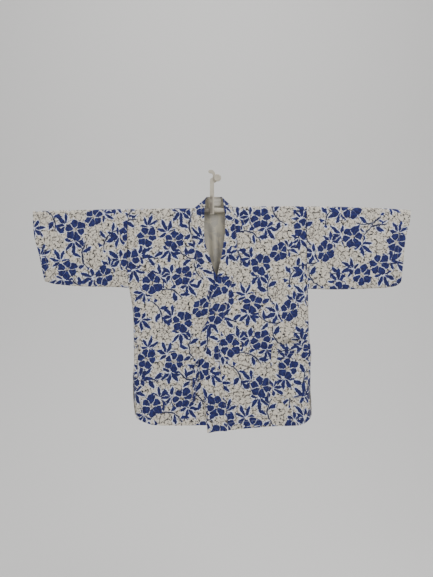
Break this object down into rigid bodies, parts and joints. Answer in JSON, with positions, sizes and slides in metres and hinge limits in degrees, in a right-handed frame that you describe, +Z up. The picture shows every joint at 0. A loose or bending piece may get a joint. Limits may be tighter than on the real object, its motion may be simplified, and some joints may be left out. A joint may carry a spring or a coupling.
{
  "type": "jinbei jacket on kimono hanger",
  "caption": "Short Japanese summer jacket of printed cotton with a wrapped front, straight open sleeves, a patch pocket and hanging ties, held flat by a straight bar hanger.",
  "frame": {"origin": "underside of the finger of the hanger's hook, in the middle of the plate's thickness, where it rests on a rail", "axes": "+X along the shoulder line towards the wearer's left sleeve, -Y the way the front faces, +Z up"},
  "size_m": [1.205, 0.0585, 0.8366],
  "materials": {
    "printed_cotton": "soft plain-woven cotton, printed blue on off-white",
    "label_cloth": "smooth woven label, bare",
    "hanger_plastic": "off-white moulded plastic with a slight sheen"
  },
  "bodies": {
    "root": {"back": "printed_cotton", "front_right": "printed_cotton", "front_left": "printed_cotton", "sleeve_right": "printed_cotton", "sleeve_left": "printed_cotton", "collar_band": "printed_cotton", "pocket": "printed_cotton", "tie_front": "printed_cotton", "tie_side": "printed_cotton", "neck_label": "label_cloth", "hanger_bar": "hanger_plastic", "hanger_hook": "hanger_plastic", "hanger_knob": "hanger_plastic"}
  },
  "joints": []
}
